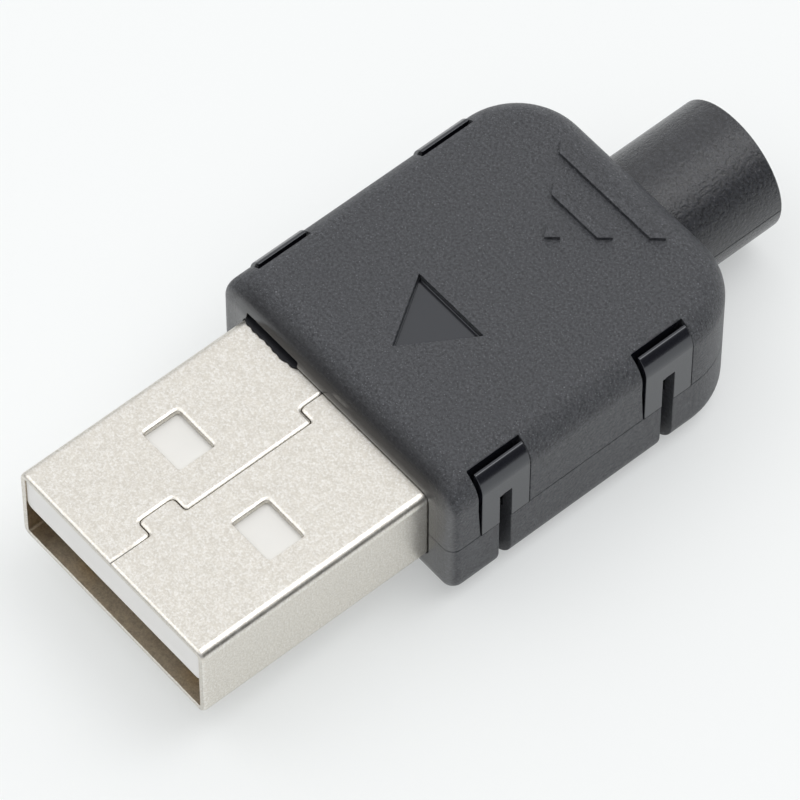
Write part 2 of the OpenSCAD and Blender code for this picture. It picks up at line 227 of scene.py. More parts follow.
def round_rect(x0, x1, y0, y1, r, steps=8):
    return (
        arc(x1 - r, y0 + r, r, -90, 0, steps)
        + arc(x1 - r, y1 - r, r, 0, 90, steps)
        + arc(x0 + r, y1 - r, r, 90, 180, steps)
        + arc(x0 + r, y0 + r, r, 180, 270, steps)
    )


def corners(x0, x1, y0, y1):
    return [(x0, y0), (x1, y0), (x1, y1), (x0, y1)]


def mirrored(outline):
    return [(-x, y) for x, y in reversed(outline)]


def apply_modifiers(obj):
    depsgraph = bpy.context.evaluated_depsgraph_get()
    mesh = bpy.data.meshes.new_from_object(obj.evaluated_get(depsgraph))
    obj.modifiers.clear()
    old = obj.data
    obj.data = mesh
    bpy.data.meshes.remove(old)


def combine(obj, tools, operation):
    """Cuts, joins or intersects obj with each tool in turn, and deletes the tools."""
    for tool in tools:
        mod = obj.modifiers.new(operation, "BOOLEAN")
        mod.object = tool
        mod.operation = operation
        mod.solver = "EXACT"
        apply_modifiers(obj)
        bpy.data.objects.remove(tool)


def clean(obj, merge=0.004):
    """Merges doubled points and joins faces that lie in one plane."""
    bm = bmesh.new()
    bm.from_mesh(obj.data)
    bmesh.ops.remove_doubles(bm, verts=bm.verts, dist=merge)
    bmesh.ops.dissolve_degenerate(bm, dist=merge, edges=bm.edges)
    bmesh.ops.dissolve_limit(
        bm, angle_limit=math.radians(0.4), verts=bm.verts, edges=bm.edges, delimit={"MATERIAL"}
    )
    bm.to_mesh(obj.data)
    bm.free()


def soften(obj, width, segments=2, angle=32.0, clamp=False):
    """Rounds every sharp edge a little and evens out the shading."""
    bevel = obj.modifiers.new("edges", "BEVEL")
    bevel.width = width
    bevel.segments = segments
    bevel.limit_method = "ANGLE"
    bevel.angle_limit = math.radians(angle)
    bevel.use_clamp_overlap = clamp
    bevel.miter_outer = "MITER_ARC"
    apply_modifiers(obj)
    smooth_shading(obj)


def smooth_shading(obj):
    for face in obj.data.polygons:
        face.use_smooth = True
    normals = obj.modifiers.new("normals", "WEIGHTED_NORMAL")
    normals.keep_sharp = False
    normals.weight = 80
    apply_modifiers(obj)


def add_materials(obj, *materials):
    for material in materials:
        obj.data.materials.append(material)


def into_frame(obj):
    """Turns millimetres from the mouth into metres in the shared frame."""
    for v in obj.data.vertices:
        v.co = Vector((v.co.x, v.co.y + MOUTH_Y, v.co.z)) * MM
    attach(obj, "root")


# ---- materials ----


class Nodes:
    """A short way to write the node tree of a material or a world."""

    def __init__(self, owner):
        owner.use_nodes = True
        self.tree = owner.node_tree

    def feed(self, socket, value):
        """Gives a socket a plain value or a link."""
        if isinstance(value, bpy.types.NodeSocket):
            self.tree.links.new(value, socket)
        else:
            socket.default_value = value

    def add(self, kind, inputs=None, **settings):
        node = self.tree.nodes.new(kind)
        for key, value in settings.items():
            setattr(node, key, value)
        for key, value in (inputs or {}).items():
            self.feed(node.inputs[key], value)
        return node

    def calc(self, operation, a, b=0.0):
        return self.add("ShaderNodeMath", {0: a, 1: b}, operation=operation).outputs[0]

    def ramp(self, fac, low, high, start=0.0, end=1.0, **settings):
        return self.add(
            "ShaderNodeMapRange",
            {"Value": fac, "From Min": low, "From Max": high, "To Min": start, "To Max": end},
            **settings,
        ).outputs["Result"]


class Material(Nodes):
    """A material on the principled shader."""

    def __init__(self, name):
        self.material = bpy.data.materials.new(name)
        super().__init__(self.material)
        self.shader = self.tree.nodes["Principled BSDF"]

    def set(self, **values):
        """Sets inputs of the shader, named with _ for each space."""
        for key, value in values.items():
            self.feed(self.shader.inputs[key.replace("_", " ")], value)

    def place(self, scale=(1, 1, 1)):
        coords = self.add("ShaderNodeTexCoord").outputs["Object"]
        return self.add("ShaderNodeMapping", {"Vector": coords, "Scale": scale}).outputs["Vector"]

    def noise(self, where, scale, detail=2.0, rough=0.5):
        return self.add(
            "ShaderNodeTexNoise",
            {"Vector": where, "Scale": scale, "Detail": detail, "Roughness": rough},
        ).outputs["Fac"]

    def mix(self, fac, a, b):
        return self.add("ShaderNodeMix", {0: fac, 6: a, 7: b}, data_type="RGBA").outputs[2]

    def bump(self, height, strength, distance):
        return self.add(
            "ShaderNodeBump", {"Height": height, "Strength": strength, "Distance": distance}
        ).outputs["Normal"]


def grained_plastic():
    """Fine spark-eroded grain with painted sparkle specks, which fades into a plain surface round the
    opening for the shell.
    """
    n = Material("black_plastic_grained")
    where = n.place()
    fine = n.noise(where, 8000.0, 4.0, 0.7)
    cloud = n.noise(where, 1300.0, 3.0, 0.6)
    painted_sparkle = n.noise(where, 15000.0, 1.0)

    axes = n.add("ShaderNodeSeparateXYZ", {"Vector": where}).outputs
    front = (FRONT_Y + MOUTH_Y) * MM
    at_front = n.ramp(axes["Y"], front + 0.1 * MM, front + 0.9 * MM, 1.0, 0.0)
    at_shell = n.ramp(n.calc("ABSOLUTE", axes["X"]), 5.8 * MM, 7.4 * MM, 1.0, 0.0)
    plain = n.calc("MULTIPLY", at_front, at_shell)

    tint = n.mix(n.ramp(fine, 0.36, 0.64), (0.016, 0.017, 0.021, 1), (0.082, 0.086, 0.096, 1))
    tint = n.mix(n.ramp(cloud, 0.3, 0.7, 0.0, 0.35), tint, (0.038, 0.040, 0.047, 1))
    # bright grey specks stand in for the grain's sparkle: painted glints
    tint = n.mix(n.ramp(painted_sparkle, 0.64, 0.80), tint, (0.22, 0.23, 0.25, 1))
    n.set(
        Base_Color=n.mix(plain, tint, (0.014, 0.014, 0.016, 1)),
        Roughness=n.ramp(plain, 0.0, 1.0, 0.42, 0.14),
        IOR=n.ramp(axes["Y"], front + 0.1 * MM, front + 0.3 * MM, 2.1, 1.5),
        Normal=n.bump(n.calc("MULTIPLY", fine, n.calc("SUBTRACT", 1.0, plain)), 1.0, 0.06 * MM),
    )
    return n.material


def coarse_plastic():
    """The coarser, glossier grain of the collar."""
    n = Material("black_plastic_coarse")
    where = n.place()
    grain = n.noise(where, 6500.0, 3.0, 0.65)
    tint = n.mix(n.ramp(grain, 0.35, 0.65), (0.008, 0.009, 0.012, 1), (0.032, 0.034, 0.041, 1))
    n.set(Base_Color=tint, Roughness=n.ramp(grain, 0.3, 0.7, 0.18, 0.28), IOR=1.6)
    n.set(Normal=n.bump(grain, 1.0, 0.05 * MM))
    return n.material


def smooth_plastic():
    """The polished surface of the loops, the catches and the floor of the arrow."""
    n = Material("black_plastic_smooth")
    wave = n.noise(n.place(), 500.0, 2.0)
    tint = n.mix(wave, (0.008, 0.008, 0.012, 1), (0.011, 0.012, 0.016, 1))
    n.set(Base_Color=tint, Roughness=n.ramp(wave, 0.3, 0.7, 0.14, 0.20))
    n.set(IOR=1.75, Specular_Tint=(0.93, 0.96, 1.0, 1))
    return n.material


def flash_and_shade_plastic():
    """The dull flash plastic in the vent, painted darker as the vent's shade."""
    n = Material("black_plastic_flash_and_painted_shade")
    wave = n.noise(n.place(), 6000.0, 3.0)
    tint = n.mix(wave, (0.006, 0.006, 0.008, 1), (0.020, 0.021, 0.025, 1))
    n.set(Base_Color=tint, Roughness=0.4, Specular_IOR_Level=0.25)
    return n.material


def nickel(name, low, high, glint):
    """Matt nickel with a cloudy tint between two colours and fine painted glints."""
    n = Material(name)
    where = n.place()
    grain = n.noise(where, 11000.0, 4.0, 0.7)
    cloud = n.noise(where, 4200.0, 3.0, 0.65)
    tint = n.mix(n.ramp(cloud, 0.32, 0.68), (*low, 1), (*high, 1))
    # fine bright specks in the glint colour: painted glints
    tint = n.mix(n.ramp(grain, 0.44, 0.74), tint, (*glint, 1))
    n.set(Base_Color=tint, Metallic=1.0, Roughness=n.ramp(cloud, 0.3, 0.7, 0.28, 0.36))
    n.set(Specular_Tint=(0.80, 0.79, 0.77, 1))
    n.set(Normal=n.bump(grain, 0.25, 0.02 * MM))
    return n.material


def white_pbt(name, low, high):
    """Plain white plastic, slightly uneven between two colours."""
    n = Material(name)
    wave = n.noise(n.place(), 700.0, 3.0)
    n.set(Base_Color=n.mix(wave, (*low, 1), (*high, 1)), Roughness=0.45)
    return n.material


def gold():
    """Gold plating with streaks along the contact."""
    n = Material("contact_gold")
    wave = n.noise(n.place((1, 0.1, 1)), 4000.0, 2.0)
    n.set(Base_Color=(0.86, 0.62, 0.28, 1), Metallic=1.0)
    n.set(Roughness=n.ramp(wave, 0.3, 0.7, 0.2, 0.32))
    return n.material


# ---- metal shell ----


STRAIGHT = 0.05  # sine of the largest turn that isn't treated as a corner
LEAST_REACH = 0.02  # a rounding begins at least this far from its corner
SHORTEST_FOLD = 0.3  # a shorter stretch of a fold line gets no edge
ON_LINE, MESH_ACCURACY = 1e-5, 1e-6

FLAT_X = SHELL_W / 2 - FOLD_R
FLAT_Z = SHELL_H - 2 * FOLD_R
FOLD_L = FOLD_R * math.pi / 2
HALF_GIRTH = 2 * FLAT_X + FLAT_Z + 2 * FOLD_L
CRIMP_FLAT = CRIMP_W / 2 - CRIMP_R
CRIMP_BEND = CRIMP_R * math.pi / 2


def seam_edge(distance):
    """Corners of the seam as x, y and rounding, moved sideways by a distance."""
    path = [(0, 0), (0, LOCK_NEAR), (-SEAM_STEP, LOCK_NEAR), (-SEAM_STEP, LOCK_FAR), (0, LOCK_FAR)]
    path += [(0, SEAM_JOG), (-SEAM_STEP, SEAM_JOG), (-SEAM_STEP, TUBE_END)]
    path = [Vector(p) for p in path]
    moved = []
    for i, p in enumerate(path):
        inner = 0 < i < len(path) - 1
        before = (p - path[i - 1] if i else path[1] - p).normalized()
        after = (path[i + 1] - p).normalized() if i < len(path) - 1 else before
        left = Vector((-before.y - after.y, before.x + after.x)).normalized()
        p = p + distance * left / left.dot(Vector((-after.y, after.x)))
        moved.append((p.x, p.y, SEAM_R if inner else 0.0))
    return moved


def folded(u, depth):
    """Cross-section of the tube, where u runs along its outside from the middle of the floor."""
    side = 1 if u >= 0 else -1
    s = abs(u)
    lengths = (FLAT_X, FOLD_L, FLAT_Z, FOLD_L)
    x, z, heading = 0.0, SHELL_FLOOR, 0.0
    for i, length in enumerate(lengths):
        step = min(s, length)
        if i % 2 == 0:
            x += step * math.cos(heading)
            z += step * math.sin(heading)
        else:
            turn = step / FOLD_R
            x += FOLD_R * (math.sin(heading + turn) - math.sin(heading))
            z += FOLD_R * (math.cos(heading) - math.cos(heading + turn))
            heading += turn
        s -= step
    x += s * math.cos(heading)
    z += s * math.sin(heading)
    return side * (x - depth * math.sin(heading)), z + depth * math.cos(heading)


def crimped(u, depth):
    """Cross-section of the strap and the crimp behind the tube."""
    side = 1 if u >= 0 else -1
    s = abs(u)
    if s <= CRIMP_FLAT:
        return u, SHELL_FLOOR + depth
    turn = min((s - CRIMP_FLAT) / CRIMP_R, math.pi / 2)
    rise = max(s - CRIMP_FLAT - CRIMP_BEND, 0.0)
    x = CRIMP_FLAT + CRIMP_R * math.sin(turn) - depth * math.sin(turn)
    z = SHELL_FLOOR + CRIMP_R * (1 - math.cos(turn)) + depth * math.cos(turn) + rise
    return side * x, z


def blank_outline():
    """The outline of the flat sheet: the seam's two edges, the trough, the strap and the crimp's ears.

    Each point is x, y, its rounding and the share of the roll's width on the side that follows it.
    To the right of the seam only the steps across it have the full roll.
    """
    right = [
        (HALF_GIRTH - x, y, r, ROLL_FULL if i % 2 else ROLL_NARROW)
        for i, (x, y, r) in enumerate(seam_edge(-SEAM_GAP / 2))
    ]
    left = [(-HALF_GIRTH - x, y, r, ROLL_FULL) for x, y, r in seam_edge(SEAM_GAP / 2)]
    wall = FLAT_X + FOLD_L + TROUGH_H - FOLD_R
    ear = CRIMP_FLAT + CRIMP_BEND + CRIMP_H - CRIMP_R
    crimp_y = SHELL_END + STRAP_L
    half = [
        (wall, TUBE_END, 0.0, ROLL_HALF),
        (wall, SHELL_END, TROUGH_R, ROLL_HALF),
        (CRIMP_FLAT, SHELL_END, STRAP_R, ROLL_HALF),
        (CRIMP_FLAT, crimp_y, 0.0, ROLL_HALF),
        (ear, crimp_y, EAR_R, ROLL_HALF),
        (ear, crimp_y + CRIMP_L, EAR_R, ROLL_HALF),
    ]
    return right + half + [(-x, y, r, s) for x, y, r, s in reversed(half)] + left[::-1]


def rectangle(x0, x1, y0, y1, r, shares=(ROLL_FULL,) * 4):
    return [(x, y, r, share) for (x, y), share in zip(corners(x0, x1, y0, y1), shares)]


def window_outlines():
    """Two windows in the floor and two in the top, whose roll is wide at the rear and on one side."""
    shares = (ROLL_NARROW, ROLL_FULL, ROLL_FULL, ROLL_NARROW)
    near = WINDOW_BRIDGE / 2
    out = []
    for side in (-1, 1):
        floor = sorted((side * near, side * (near + WINDOW_W)))
        top = sorted((side * (HALF_GIRTH - near), side * (HALF_GIRTH - near - WINDOW_W)))
        for u0, u1 in (floor, top):
            out.append(rectangle(u0, u1, WINDOW_Y, WINDOW_Y + WINDOW_L, WINDOW_R, shares))
    return out


def with_folds(loop, folds):
    """The loop with a point wherever one of its sides crosses a fold line."""
    out = []
    for i, a in enumerate(loop):
        b = loop[(i + 1) % len(loop)]
        out.append(a)
        crossings = []
        for u, start in folds:
            if (a[0] - u) * (b[0] - u) < 0 and min(a[1], b[1]) >= start:
                t = (u - a[0]) / (b[0] - a[0])
                crossings.append((t, u, a[1] + t * (b[1] - a[1])))
        out += [(u, y, 0.0, a[3]) for _, u, y in sorted(crossings)]
    return out


def drawn_in(loop, draw, steps=5):
    """The loop drawn into its material, which lies on its left, with rounded corners."""
    out = []
    for i, (x, y, r, share) in enumerate(loop):
        p = Vector((x, y))
        before = (p - Vector(loop[i - 1][:2])).normalized()
        after = (Vector(loop[(i + 1) % len(loop)][:2]) - p).normalized()
        first, second = draw * loop[i - 1][3], draw * share
        turn = before.cross(after)
        if abs(turn) > STRAIGHT:
            p += (first * after - second * before) / turn
        else:
            p += second * Vector((-after.y, after.x))
        if not r:
            out.append(p)
            continue
        inset = min(first, second)
        reach = max(r - inset, LEAST_REACH) if turn > 0 else r + inset
        start, end = p - reach * before, p + reach * after
        for k in range(steps + 1):
            t = k / steps
            out.append((1 - t) ** 2 * start + 2 * t * (1 - t) * p + t * t * end)
    return out


def sheet_rings():
    """Depth below the outer face and inset of each ring round the edge of the sheet."""
    rings = []
    for k in range(ROLL_STEPS + 1):
        t = k / ROLL_STEPS
        rings.append((ROLL_DEPTH * t * t, ROLL_W * (1 - t)))
    for a in (0.0, math.pi / 4, math.pi / 2):
        rings.append((SHEET - INNER_EDGE_R * (1 - math.sin(a)), INNER_EDGE_R * (1 - math.cos(a))))
    return rings


def flat_sheet(loops, folds):
    """The flat sheet with rounded edges, as a bmesh with x and y in its plane and z the depth."""
    bm = bmesh.new()
    loops = [with_folds(loop, folds) for loop in loops]
    rings = [(depth, [drawn_in(loop, draw) for loop in loops]) for depth, draw in sheet_rings()]
    inset = rings[0][1]
    flat = [p for loop in inset for p in loop]
    rim, start = [], 0
    for loop in inset:
        n = len(loop)
        rim += [(start + i, start + (i + 1) % n) for i in range(n)]
        start += n
    edges = rim + fold_edges(flat, folds, inset)
    points, _, triangles, _, _, _ = delaunay_2d_cdt(flat, edges, [], 0, MESH_ACCURACY)
    levels = [[bm.verts.new((*p, depth)) for loop in ring for p in loop] for depth, ring in rings]
    for high, low in zip(levels, levels[1:]):
        for i, j in rim:
            bm.faces.new((high[i], high[j], low[j], low[i]))
    for triangle in triangles:
        middle = sum((points[i] for i in triangle), Vector((0, 0))) / len(triangle)
        if on_sheet(middle, inset):
            bm.faces.new([levels[0][i] for i in triangle])
            bm.faces.new([levels[-1][i] for i in reversed(triangle)])
    return bm


def fold_edges(points, folds, loops):
    """Pairs of neighbours on a fold line with sheet between them."""
    edges = []
    for u, _ in folds:
        on_line = sorted((p.y, i) for i, p in enumerate(points) if abs(p.x - u) < ON_LINE)
        for (y0, i), (y1, j) in zip(on_line, on_line[1:]):
            if y1 - y0 > SHORTEST_FOLD and on_sheet(Vector((u, (y0 + y1) / 2)), loops):
                edges.append((i, j))
    return edges


def on_sheet(p, loops):
    """Whether a point lies inside the outline and in none of the windows."""
    return sum(encloses(loop, p) for loop in loops) == 1


def encloses(loop, p):
    """Whether a closed loop runs round a point."""
    inside = False
    for i, a in enumerate(loop):
        b = loop[i - 1]
        if (a.y > p.y) != (b.y > p.y) and p.x < (b.x - a.x) * (p.y - a.y) / (b.y - a.y) + a.x:
            inside = not inside
    return inside


def counter_clockwise(loop):
    area = sum(loop[i - 1][0] * p[1] - p[0] * loop[i - 1][1] for i, p in enumerate(loop))
    return loop if area > 0 else turned_round(loop)


def turned_round(loop):
    """The loop in the other direction; each side keeps its own share of the edge's roll."""
    return [(*p[:3], loop[i - 1][3]) for i, p in reversed(list(enumerate(loop)))]


def fold_lines():
    """Where the sheet is bent, as the distance from its middle line and the y where the bend begins."""
    folds = []
    for k in range(FOLD_STEPS + 1):
        for start in (FLAT_X, FLAT_X + FOLD_L + FLAT_Z):
            folds.append((start + FOLD_L * k / FOLD_STEPS, -PAST))
        if k:
            folds.append((CRIMP_FLAT + CRIMP_BEND * k / FOLD_STEPS, SHELL_END + PAST))
    return [(side * u, start) for u, start in folds for side in (-1, 1)]


def make_shell():
    """Cuts the flat sheet, folds it to the tube and the crimp, colours its outer face and paints shade on
    its inner face.
    """
    key_hole = rectangle(-KEY_W / 2, KEY_W / 2, KEY_Y - KEY_L / 2, KEY_Y + KEY_L / 2, 0.0)
    loops = [counter_clockwise(blank_outline())]
    loops += [turned_round(counter_clockwise(loop)) for loop in window_outlines() + [key_hole]]
    bm = flat_sheet(loops, fold_lines())
    depth = {v: v.co.z for v in bm.verts}
    for v in bm.verts:
        section = crimped if v.co.y > SHELL_END + HAIR else folded
        x, z = section(v.co.x, v.co.z)
        v.co = (x, v.co.y, z)
    for face in bm.faces:
        innermost = all(depth[v] > SHEET - HAIR for v in face.verts)
        face.material_index = SHEET_INSIDE_SHADED if innermost else SHEET_OUTSIDE
    bmesh.ops.recalc_face_normals(bm, faces=bm.faces)
    mesh = bpy.data.meshes.new("shell_sheet")
    bm.to_mesh(mesh)
    bm.free()
    shell = link(mesh, "shell_sheet")
    smooth_shading(shell)
    outside = nickel("nickel_sheet", (0.665, 0.632, 0.568), (0.745, 0.712, 0.645), (0.97, 0.96, 0.94))
    # the inner face's darker, browner nickel is painted shade
    inside = nickel("nickel_inside_painted_shade", (0.42, 0.35, 0.28), (0.60, 0.51, 0.40), (0.70, 0.62, 0.48))
    add_materials(shell, outside, inside)
    into_frame(shell)
    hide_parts("plug_shell")


# ---- housing ----


def body_ring(inset, z):
    """Plan outline of the housing drawn in by inset, at a height."""
    rear_r = REAR_CORNER_R - inset
    corner_y = REAR_Y - REAR_CORNER_R
    corner_x = SIDE_X - REAR_CORNER_R
    front_x = SIDE_X - inset - FRONT_CORNER_R
    front_y = FRONT_Y + inset + FRONT_CORNER_R
    plan = (
        arc(corner_x, corner_y, rear_r, 0, 90, 2 * ARC_STEPS)
        + arc(-corner_x, corner_y, rear_r, 90, 180, 2 * ARC_STEPS)
        + arc(-front_x, front_y, FRONT_CORNER_R, 180, 270, ARC_STEPS)
        + arc(front_x, front_y, FRONT_CORNER_R, 270, 360, ARC_STEPS)
    )
    return [(x, y, z) for x, y in plan]


def body_block():
    """The closed body without its collar, with its floor and its roof rounded into the walls."""
    edge = []
    for k in range(EDGE_STEPS + 1):
        a = math.pi / 2 * k / EDGE_STEPS
        edge.append((EDGE_R * (1 - math.sin(a)), EDGE_R * (1 - math.cos(a))))
    rings = [body_ring(inset, rise) for inset, rise in edge]
    rings += [body_ring(inset, BODY_H - rise) for inset, rise in reversed(edge)]
    n = len(rings[0])
    verts = [p for ring in rings for p in ring]
    faces = [list(range(n)), list(range(len(verts) - n, len(verts)))]
    for r in range(len(rings) - 1):
        for i in range(n):
            j = (i + 1) % n
            faces.append([r * n + i, r * n + j, (r + 1) * n + j, (r + 1) * n + i])
    return mesh_object("body", verts, faces)


def lathe(name, profile, steps=64):
    """A closed profile of (radius, y) points turned round the cable's axis."""
    n = len(profile)
    verts = []
    for k in range(steps):
        a = 2 * math.pi * k / steps
        verts += [(r * math.sin(a), y, PARTING_Z + r * math.cos(a)) for r, y in profile]
    faces = []
    for k in range(steps):
        m = (k + 1) % steps
        for i in range(n - 1):
            j = i + 1
            faces.append([k * n + i, k * n + j, m * n + j, m * n + i])
    ends = [[k * n + i for k in range(steps)] for i in (0, n - 1)]
    return mesh_object(name, verts, faces + ends)


def collar():
    end = arc(COLLAR_R - COLLAR_END_R, TOTAL_L - COLLAR_END_R, COLLAR_END_R, 0, 90, ARC_STEPS // 2)
    return lathe("collar", [(COLLAR_R, REAR_Y - COLLAR_ROOT)] + end)


def hollows():
    """The pocket for the shell, the chamber behind it and the bore for the cable."""
    pocket = round_rect(
        -SHELL_W / 2 - SHELL_PLAY, SHELL_W / 2 + SHELL_PLAY,
        SHELL_FLOOR - SHELL_PLAY, SHELL_TOP + SHELL_PLAY, FOLD_R + SHELL_PLAY,
    )
    half = CHAMBER_W / 2
    chamber = [(-half, POCKET_END - CHAMBER_LAP), (half, POCKET_END - CHAMBER_LAP)]
    chamber += arc(half - CHAMBER_R, CHAMBER_END - CHAMBER_R, CHAMBER_R, 0, 90, ARC_STEPS)
    chamber += arc(CHAMBER_R - half, CHAMBER_END - CHAMBER_R, CHAMBER_R, 90, 180, ARC_STEPS)
    bore = [(CABLE_R, CHAMBER_END - BORE_LAP), (CABLE_R, TOTAL_L + PAST)]
    return [
        prism("pocket", pocket, FRONT_Y - PAST, POCKET_END, "y"),
        prism("chamber", chamber, CHAMBER_FLOOR, CHAMBER_ROOF, "z"),
        lathe("bore", bore),
    ]


def slab(low, high):
    """A block that takes in the whole plug between two heights."""
    far = BODY_W + PAST
    return prism("slab", corners(-far, far, -PAST, TOTAL_L + far), low, high, "z")


def both_sides(name, outline, low, high, axis):
    """The same prism on the right and on the left of the plug."""
    if axis == "x":
        return [prism(name, outline, low, high, "x"), prism(name, outline, -high, -low, "x")]
    return [prism(name, outline, low, high, axis), prism(name, mirrored(outline), low, high, axis)]


def latch_notches():
    """The openings in the upper half for the loops, wider towards the top in front of each loop."""
    cuts = []
    middle = (PARTING_HIGH + LATCH_TOP) / 2
    for y in LATCH_YS:
        front, rear = y - LATCH_W / 2, y + LATCH_W / 2 + REAR_GAP
        outline = [
            (front - FOOT_GAP, PARTING_Z - PAST),
            (front - FOOT_GAP, PARTING_HIGH),
            (front - FRONT_GAP, middle),
            (front - FRONT_GAP, BODY_H + PAST),
            (rear, BODY_H + PAST),
            (rear, PARTING_Z - PAST),
        ]
        cuts += both_sides("notch", outline, NOTCH_X, SIDE_X + PAST, "x")
    return cuts


def catches():
    """The four ramps on the upper half that the loops snap over."""
    root = NOTCH_X - ROOT
    outline = [
        (root, CATCH_TOP - CATCH_H),
        (NOTCH_X, CATCH_TOP - CATCH_H),
        (CATCH_X, CATCH_TOP - CATCH_H + CATCH_SLOPE),
        (CATCH_X, CATCH_TOP),
        (root, CATCH_TOP),
    ]
    parts = []
    for y in LATCH_YS:
        parts += both_sides("catch", outline, y - CATCH_W / 2, y + CATCH_W / 2, "y")
    return parts


def latch_loops():
    """The four loops, each with a root that reaches down into the lower half's wall."""
    out = SIDE_X + LATCH_PROUD
    r = LATCH_SHOULDER_R
    foot = PARTING_LOW - HAIR
    top_angle = math.degrees(math.asin((LATCH_TOP - BODY_H + r) / r))
    outline = [
        (LOOP_X, PARTING_LOW - LOOP_ROOT),
        (SIDE_X - ROOT, PARTING_LOW - LOOP_ROOT),
        (SIDE_X - ROOT, foot),
        (out, foot),
    ]
    outline += arc(out - r, BODY_H - r, r, 0, top_angle, ARC_STEPS)
    outline.append((LOOP_X, LATCH_TOP))
    parts = []
    for y in LATCH_YS:
        parts += both_sides("loop", outline, y - LATCH_W / 2, y + LATCH_W / 2, "y")
    return parts


def latch_slots():
    """The slot in the middle of each loop, which runs down through the lower half."""
    cuts = []
    for y in LATCH_YS:
        outline = corners(y - SLOT_W / 2, y + SLOT_W / 2, -PAST, SLOT_TOP)
        cuts += both_sides("slot", outline, SLOT_X, SIDE_X + PAST, "x")
    return cuts


def arrow_recess():
    outline = [(0, ARROW_Y), (ARROW_W / 2, ARROW_Y + ARROW_L), (-ARROW_W / 2, ARROW_Y + ARROW_L)]
    return prism("arrow", outline, BODY_H - ARROW_DEPTH, BODY_H + PAST, "z")


def grip_bars():
    """Stepped marks that widen towards the rear; the first is a triangle."""
    bars = []
    for i in range(BAR_COUNT):
        near, far = i * BAR_PITCH, i * BAR_PITCH + BAR_T
        half_near, half_far = BAR_SPREAD / 2 * near, BAR_SPREAD / 2 * far
        outline = [(-half_far, BAR_Y + far), (half_far, BAR_Y + far)]
        outline += [(half_near, BAR_Y + near), (-half_near, BAR_Y + near)] if i else [(0, BAR_Y)]
        bars.append(prism("bar", outline, BODY_H - BAR_ROOT, BODY_H + BAR_H, "z"))
    return bars


def vent():
    """The low opening over the shell at the front of the upper half."""
    outline = corners(VENT_LOW, VENT_HIGH, SHELL_TOP - VENT_DROP, SHELL_TOP + VENT_H)
    return prism("vent", outline, FRONT_Y - PAST, FRONT_Y + VENT_L, "y")


def vent_lip():
    """The ragged web of plastic that lies on the shell inside the vent."""
    ragged = (
        0.10, 0.19, 0.15, 0.22, 0.17, 0.20, 0.13, 0.19,
        0.15, 0.22, 0.18, 0.23, 0.20, 0.12, 0.16, 0.05,
    )
    n = len(ragged) - 1
    outline = [(VENT_LOW + (VENT_HIGH - VENT_LOW) * i / n, FRONT_Y - r) for i, r in enumerate(ragged)]
    rear = FRONT_Y + VENT_L + ROOT
    outline += [(VENT_HIGH + ROOT, rear), (VENT_LOW - ROOT, rear)]
    return prism("lip", outline, LIP_LOW, LIP_HIGH, "z")


def closed_housing():
    """Both halves in one, before they are cut apart."""
    closed = body_block()
    combine(closed, [collar()], "UNION")
    combine(closed, hollows(), "DIFFERENCE")
    return closed


def look_of(face, is_lower):
    """The loops, catches and arrow floor are smooth, the vent is dull and painted dark as shade, and the
    collar has a coarse grain.
    """
    c = face.center
    if c.y > REAR_Y + HAIR / 2:
        return COARSE
    in_vent = abs(c.x - VENT_X) < VENT_W / 2 + HAIR and SHELL_TOP < c.z < SHELL_TOP + VENT_H + 2 * HAIR
    on_lip = c.z < SHELL_TOP + ROOT
    behind_front = c.y > FRONT_Y + ROOT
    # the vent's lip and walls take the dark, dull plastic, which is partly painted shade
    if in_vent and (on_lip or behind_front) and c.y < FRONT_Y + VENT_L + ROOT:
        return FLASH_AND_SHADE
    at_latch = abs(c.x) > NOTCH_X and any(abs(c.y - y) < LATCH_W / 2 + 5 * HAIR for y in LATCH_YS)
    if is_lower:
        return SMOOTH if at_latch and c.z > PARTING_LOW - 2 * HAIR else GRAINED
    on_arrow = abs(c.z - (BODY_H - ARROW_DEPTH)) < HAIR and face.normal.z > FACING
    return SMOOTH if on_arrow or (at_latch and c.z < CATCH_TOP + ROOT) else GRAINED


def make_housing():
    """Cuts the closed housing into its halves, adds the latches and marks, and finishes both."""
    closed = closed_housing()
    upper = link(closed.data.copy(), "housing_upper")
    lower = link(closed.data.copy(), "housing_lower")
    bpy.data.objects.remove(closed)
    combine(upper, [slab(PARTING_HIGH, BODY_H + PAST)], "INTERSECT")
    combine(upper, latch_notches() + [arrow_recess(), vent()], "DIFFERENCE")
    combine(upper, catches() + grip_bars() + [vent_lip()], "UNION")
    combine(lower, [slab(-PAST, PARTING_LOW)], "INTERSECT")
    combine(lower, latch_loops(), "UNION")
    combine(lower, latch_slots(), "DIFFERENCE")
    looks = (grained_plastic(), smooth_plastic(), flash_and_shade_plastic(), coarse_plastic())
    for half, node in ((upper, "upper_housing"), (lower, "lower_housing")):
        clean(half)
        soften(half, HOUSING_EDGE)
        for v in half.data.vertices:
            v.co.x = min(max(v.co.x, lower_low[0]), lower_high[0])
        add_materials(half, *looks)
        for face in half.data.polygons:
            face.material_index = look_of(face, half == lower)
        into_frame(half)
        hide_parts(node)


# ---- insulator and contacts ----


def copy_of(node, name, width):
    """A piece with the form of a CAD node and softly rounded edges."""
    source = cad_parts[node]
    obj = link(source.data.copy(), name)
    obj.matrix_world = source.matrix_world
    for v in obj.data.vertices:
        v.co = source.matrix_world @ v.co / MM
    obj.matrix_world = Matrix()
    clean(obj, 0.001)
    soften(obj, width, clamp=True)
    for v in obj.data.vertices:
        v.co = v.co * MM
    obj.data.materials.clear()
    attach(obj, "root")
    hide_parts(node)
    return obj


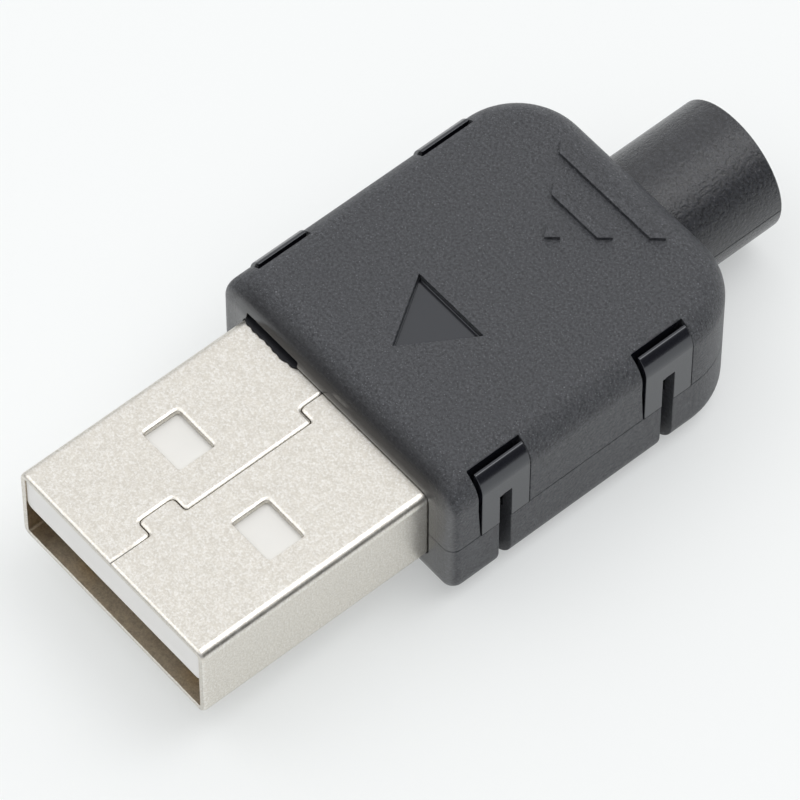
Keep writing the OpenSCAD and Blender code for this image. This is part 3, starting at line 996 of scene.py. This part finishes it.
def make_inner_pieces():
    """The insulator, with its tongue brought forward and up to the shell's walls, and the contacts."""
    block = copy_of("insulator", "white_insulator", INSULATOR_EDGE)
    wall = SHELL_W / 2 - SHEET - TONGUE_PLAY
    for v in block.data.vertices:
        if v.co.y < (MOUTH_Y + TONGUE_REACH) * MM:
            v.co.y -= TONGUE_ADVANCE * MM
            v.co.x *= wall / TONGUE_HALF
    body = white_pbt("white_pbt", (0.79, 0.78, 0.75), (0.83, 0.82, 0.79))
    # a lighter copy of the same white for the tongue's front faces: painted light
    front = white_pbt("white_pbt_front_painted_light", (0.88, 0.87, 0.85), (0.92, 0.91, 0.89))
    add_materials(block, body, front)
    for face in block.data.polygons:
        on_lit_tongue_front = face.normal.y < -FACING and face.center.z > TONGUE_LOW * MM
        face.material_index = TONGUE_FRONT_LIT if on_lit_tongue_front else BLOCK_WHITE
    plating = gold()
    for node in ("contact_power", "contact_data_minus", "contact_data_plus", "contact_ground"):
        strip = copy_of(node, node + "_strip", CONTACT_EDGE)
        add_materials(strip, plating)


# ---- studio ----


def paper():
    """Pale paper whose shadows are lifted for the camera and in reflections."""
    n = Material("pale_paper")
    n.set(Base_Color=PAPER_COLOUR, Roughness=0.9, Specular_IOR_Level=0.1)
    rays = n.add("ShaderNodeLightPath").outputs
    seen = n.calc("MAXIMUM", rays["Is Camera Ray"], rays["Is Glossy Ray"])
    share = n.calc("MULTIPLY", seen, PAPER_GLOW)
    glow = n.add("ShaderNodeEmission", {"Color": PAPER_GLOW_COLOUR, "Strength": 1.0}).outputs["Emission"]
    mixed = n.add("ShaderNodeMixShader", {0: share, 1: n.shader.outputs["BSDF"], 2: glow})
    n.feed(n.tree.nodes["Material Output"].inputs["Surface"], mixed.outputs["Shader"])
    return n.material


def make_floor():
    half, thickness = 0.6, 0.002
    floor = prism("studio_floor", corners(-half, half, -half, half), -thickness, 0.0, "z")
    add_materials(floor, paper())


def make_lights():
    """A white dome whose brightness is the sum of the lights in DOME."""
    world = bpy.data.worlds.new("studio")
    bpy.context.scene.world = world
    n = Nodes(world)
    direction = n.add("ShaderNodeTexCoord").outputs["Generated"]
    total = 0.0
    for axis, low, high, outside, inside in DOME:
        toward = n.add(
            "ShaderNodeVectorMath", {0: direction, 1: Vector(axis).normalized()}, operation="DOT_PRODUCT"
        ).outputs["Value"]
        light = n.ramp(toward, low, high, outside, inside, interpolation_type="SMOOTHSTEP")
        total = n.calc("ADD", total, light)
    background = n.tree.nodes["Background"]
    n.feed(background.inputs["Color"], (1.0, 1.0, 1.0, 1))
    n.feed(background.inputs["Strength"], total)


def make_camera():
    """The viewpoint of the picture: distance and target in metres, lens and sensor in millimetres."""
    azimuth, elevation = math.radians(49.72), math.radians(56.105)
    distance, nearest = 0.2961, 0.01
    focal_length, sensor = 315.3, 36.0
    target = Vector((0.000388, -0.001924, 0.00427))
    back = Vector((
        math.sin(azimuth) * math.cos(elevation),
        -math.cos(azimuth) * math.cos(elevation),
        math.sin(elevation),
    ))
    data = bpy.data.cameras.new("camera")
    data.sensor_width = sensor
    data.lens = focal_length
    data.clip_start = nearest
    camera = bpy.data.objects.new("camera", data)
    camera.location = target + distance * back
    camera.rotation_euler = (-back).to_track_quat("-Z", "Y").to_euler()
    bpy.context.collection.objects.link(camera)
    bpy.context.scene.camera = camera


make_camera()
make_lights()
make_floor()
make_shell()
make_inner_pieces()
make_housing()
bpy.context.scene.view_settings.view_transform = "Standard"
